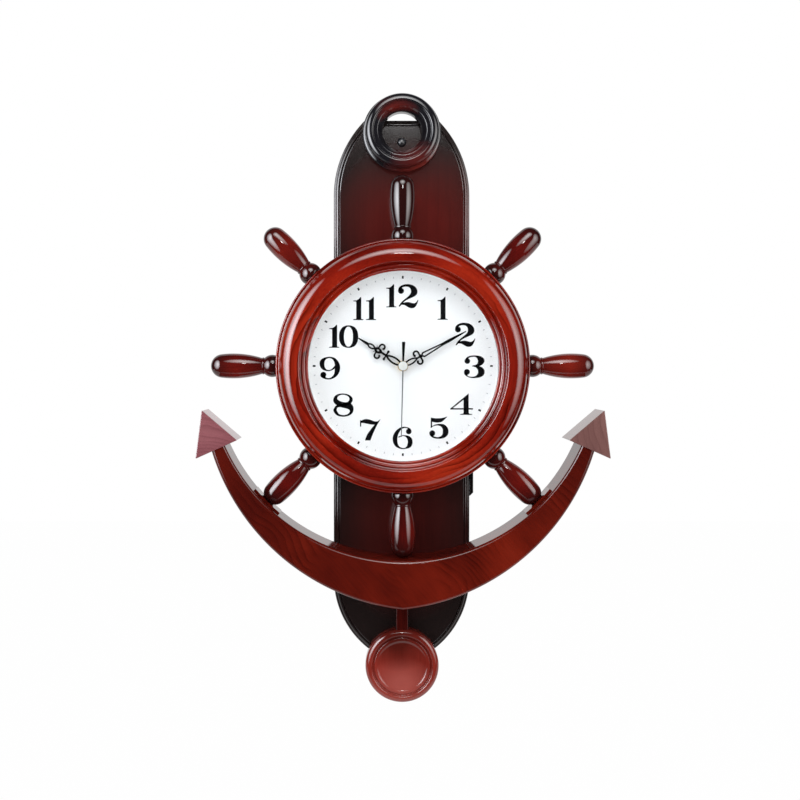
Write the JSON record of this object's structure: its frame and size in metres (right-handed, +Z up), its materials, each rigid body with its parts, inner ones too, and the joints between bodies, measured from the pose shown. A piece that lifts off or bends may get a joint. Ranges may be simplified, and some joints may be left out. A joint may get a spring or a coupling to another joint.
{
  "type": "ship wheel wall clock",
  "caption": "Wall clock shaped as a ship's wheel with turned handles, set in an anchor on a long back board, with quartz hands and a keyhole hanger.",
  "frame": {"origin": "centre of the hanger's round hole, in the plane of the wall", "axes": "+Y into the wall along the hanger hole, +Z up, +X to the right seen from the front; the dial faces -Y"},
  "size_m": [0.417, 0.082, 0.6305],
  "materials": {
    "dark_lacquer": "gloss lacquer shading from dark red to black",
    "red_lacquer": "gloss lacquer over dark grain",
    "fluke_lacquer": "gloss lacquer over dark grain",
    "handle_lacquer": "gloss lacquer, near black at the ball",
    "drum_lacquer": "satin lacquer",
    "panel_board": "bare board",
    "steel": "zinc plated",
    "glass": "clear flat glass",
    "white_plastic": "matt",
    "dial": "matt white with plain black numbers",
    "case_plastic": "fine texture",
    "wheel_plastic": "natural",
    "brass": "turned",
    "rubber": "matt",
    "board_green": "circuit board",
    "copper": "enamelled winding",
    "iron": "bare",
    "contact_steel": "nickel plated",
    "battery_jacket": "plain jacket",
    "hand_black": "gloss black",
    "hand_grey": "fine grey needle with a pale cap"
  },
  "bodies": {
    "clock": {"back_board": "dark_lacquer", "anchor_ring": "dark_lacquer", "crescent": "red_lacquer", "bezel": "red_lacquer", "lower_bar": "red_lacquer", "bottom_knob": "red_lacquer", "fluke_left": "fluke_lacquer", "fluke_right": "fluke_lacquer", "handle_0": "handle_lacquer", "handle_45": "handle_lacquer", "handle_90": "handle_lacquer", "handle_135": "handle_lacquer", "handle_180": "handle_lacquer", "handle_225": "handle_lacquer", "handle_270": "handle_lacquer", "handle_315": "handle_lacquer", "case_drum": "drum_lacquer", "seat_plates": "drum_lacquer", "side_block": "drum_lacquer", "case_back": "panel_board", "hanger_plate": "steel", "hanger_screws": "steel", "frame_screws": "steel", "bezel_screws": "steel", "board_stud": "steel", "glass": "glass", "spacer_ring": "white_plastic", "dial_plate": "dial", "movement_case": "case_plastic", "movement_cover": "case_plastic", "train_plate": "brass", "metal_washer": "brass", "bush_nut": "brass", "rubber_washer": "rubber", "circuit_board": "board_green", "coil": "copper", "stator": "iron", "battery_contact_plus": "contact_steel", "battery_contact_minus": "contact_steel"},
    "minute": {"minute_hand": "hand_black", "minute_pipe": "brass"},
    "hour": {"hour_hand": "hand_black", "hour_wheel": "wheel_plastic"},
    "motion": {"motion_wheel": "wheel_plastic"},
    "setter": {"set_knob": "case_plastic"},
    "second": {"second_hand": "hand_grey", "second_wheel": "wheel_plastic"},
    "third": {"third_wheel": "wheel_plastic"},
    "centre": {"centre_wheel": "brass"},
    "intermediate": {"intermediate_wheel": "wheel_plastic"},
    "rotor": {"rotor": "iron"},
    "battery": {"battery": "battery_jacket"}
  },
  "joints": [
    {"name": "minute_turn", "type": "hinge", "parent": "clock", "child": "minute", "pos_m": [0, -0.045, -0.196], "axis": [0, 1, 0], "continuous": true},
    {"name": "hour_turn", "type": "hinge", "parent": "clock", "child": "hour", "pos_m": [0, -0.045, -0.196], "axis": [0, 1, 0], "continuous": true},
    {"name": "motion_turn", "type": "hinge", "parent": "clock", "child": "motion", "pos_m": [0.0096, -0.045, -0.196], "axis": [0, 1, 0], "continuous": true},
    {"name": "set_turn", "type": "hinge", "parent": "clock", "child": "setter", "pos_m": [0.01726, -0.045, -0.18957], "axis": [0, 1, 0], "continuous": true},
    {"name": "second_turn", "type": "hinge", "parent": "clock", "child": "second", "pos_m": [0, -0.045, -0.196], "axis": [0, 1, 0], "continuous": true},
    {"name": "third_turn", "type": "hinge", "parent": "clock", "child": "third", "pos_m": [-0.0102, -0.045, -0.196], "axis": [0, 1, 0], "continuous": true},
    {"name": "centre_turn", "type": "hinge", "parent": "clock", "child": "centre", "pos_m": [0, -0.045, -0.196], "axis": [0, 1, 0], "continuous": true},
    {"name": "intermediate_turn", "type": "hinge", "parent": "clock", "child": "intermediate", "pos_m": [0, -0.045, -0.1876], "axis": [0, 1, 0], "continuous": true},
    {"name": "rotor_turn", "type": "hinge", "parent": "clock", "child": "rotor", "pos_m": [0.00509, -0.045, -0.18251], "axis": [0, 1, 0], "continuous": true},
    {"name": "battery_out", "type": "slide", "parent": "clock", "child": "battery", "axis": [0, 1, 0], "range_m": [0, 0.025]}
  ],
  "couplings": [
    {"joint": "hour_turn", "follows": "minute_turn", "ratio": 0.083333},
    {"joint": "motion_turn", "follows": "minute_turn", "ratio": -0.33333},
    {"joint": "set_turn", "follows": "minute_turn", "ratio": 0.85714},
    {"joint": "third_turn", "follows": "second_turn", "ratio": -0.13333},
    {"joint": "centre_turn", "follows": "second_turn", "ratio": 0.016667},
    {"joint": "intermediate_turn", "follows": "second_turn", "ratio": -6},
    {"joint": "rotor_turn", "follows": "second_turn", "ratio": 30}
  ]
}
